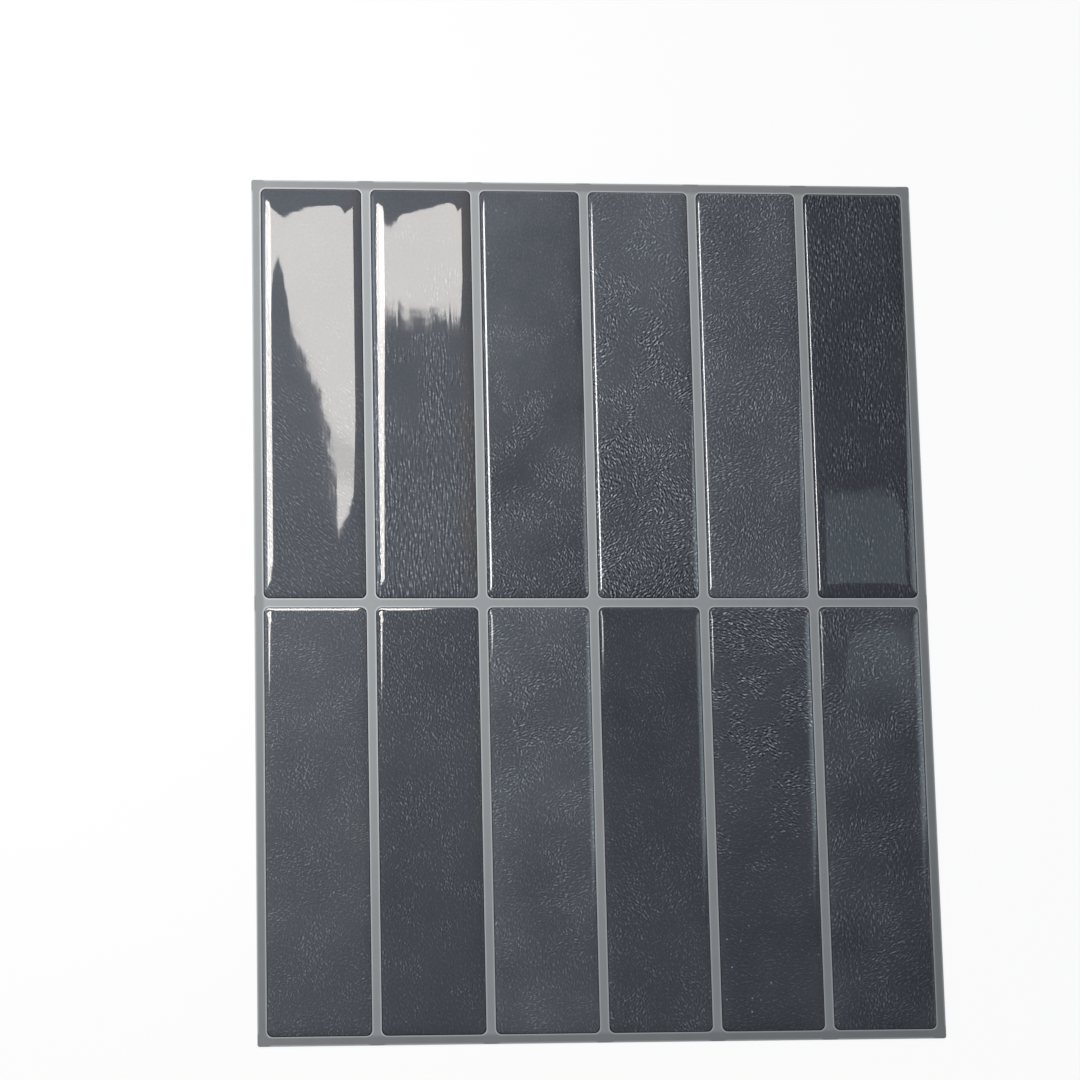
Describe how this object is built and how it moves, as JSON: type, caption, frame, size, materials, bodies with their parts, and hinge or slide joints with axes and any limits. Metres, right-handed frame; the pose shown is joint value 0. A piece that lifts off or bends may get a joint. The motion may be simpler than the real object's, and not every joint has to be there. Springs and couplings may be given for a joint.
{
  "type": "peel and stick backsplash tile",
  "caption": "Peel-and-stick backsplash sheet: glossy slate gel tiles domed at their edges, stacked on a grout-coloured vinyl sheet with a paper release liner.",
  "frame": {"origin": "centre of the sheet on the underside of its release liner", "axes": "+X across the columns of tiles, +Y up along the tiles as they hang on a wall, +Z out of the glossy face"},
  "size_m": [0.2354, 0.3046, 0.0021],
  "materials": {
    "gel_tile": "clear gloss gel over a mottled slate print",
    "grout_vinyl": "satin, very fine grain",
    "release_paper": "smooth, faint wax sheen on the outside"
  },
  "bodies": {
    "root": {"release_liner": "release_paper", "grout_vinyl_sheet": "grout_vinyl", "gel_tile_row1_column1": "gel_tile", "gel_tile_row1_column2": "gel_tile", "gel_tile_row1_column3": "gel_tile", "gel_tile_row1_column4": "gel_tile", "gel_tile_row1_column5": "gel_tile", "gel_tile_row1_column6": "gel_tile", "gel_tile_row2_column1": "gel_tile", "gel_tile_row2_column2": "gel_tile", "gel_tile_row2_column3": "gel_tile", "gel_tile_row2_column4": "gel_tile", "gel_tile_row2_column5": "gel_tile", "gel_tile_row2_column6": "gel_tile"}
  },
  "joints": []
}
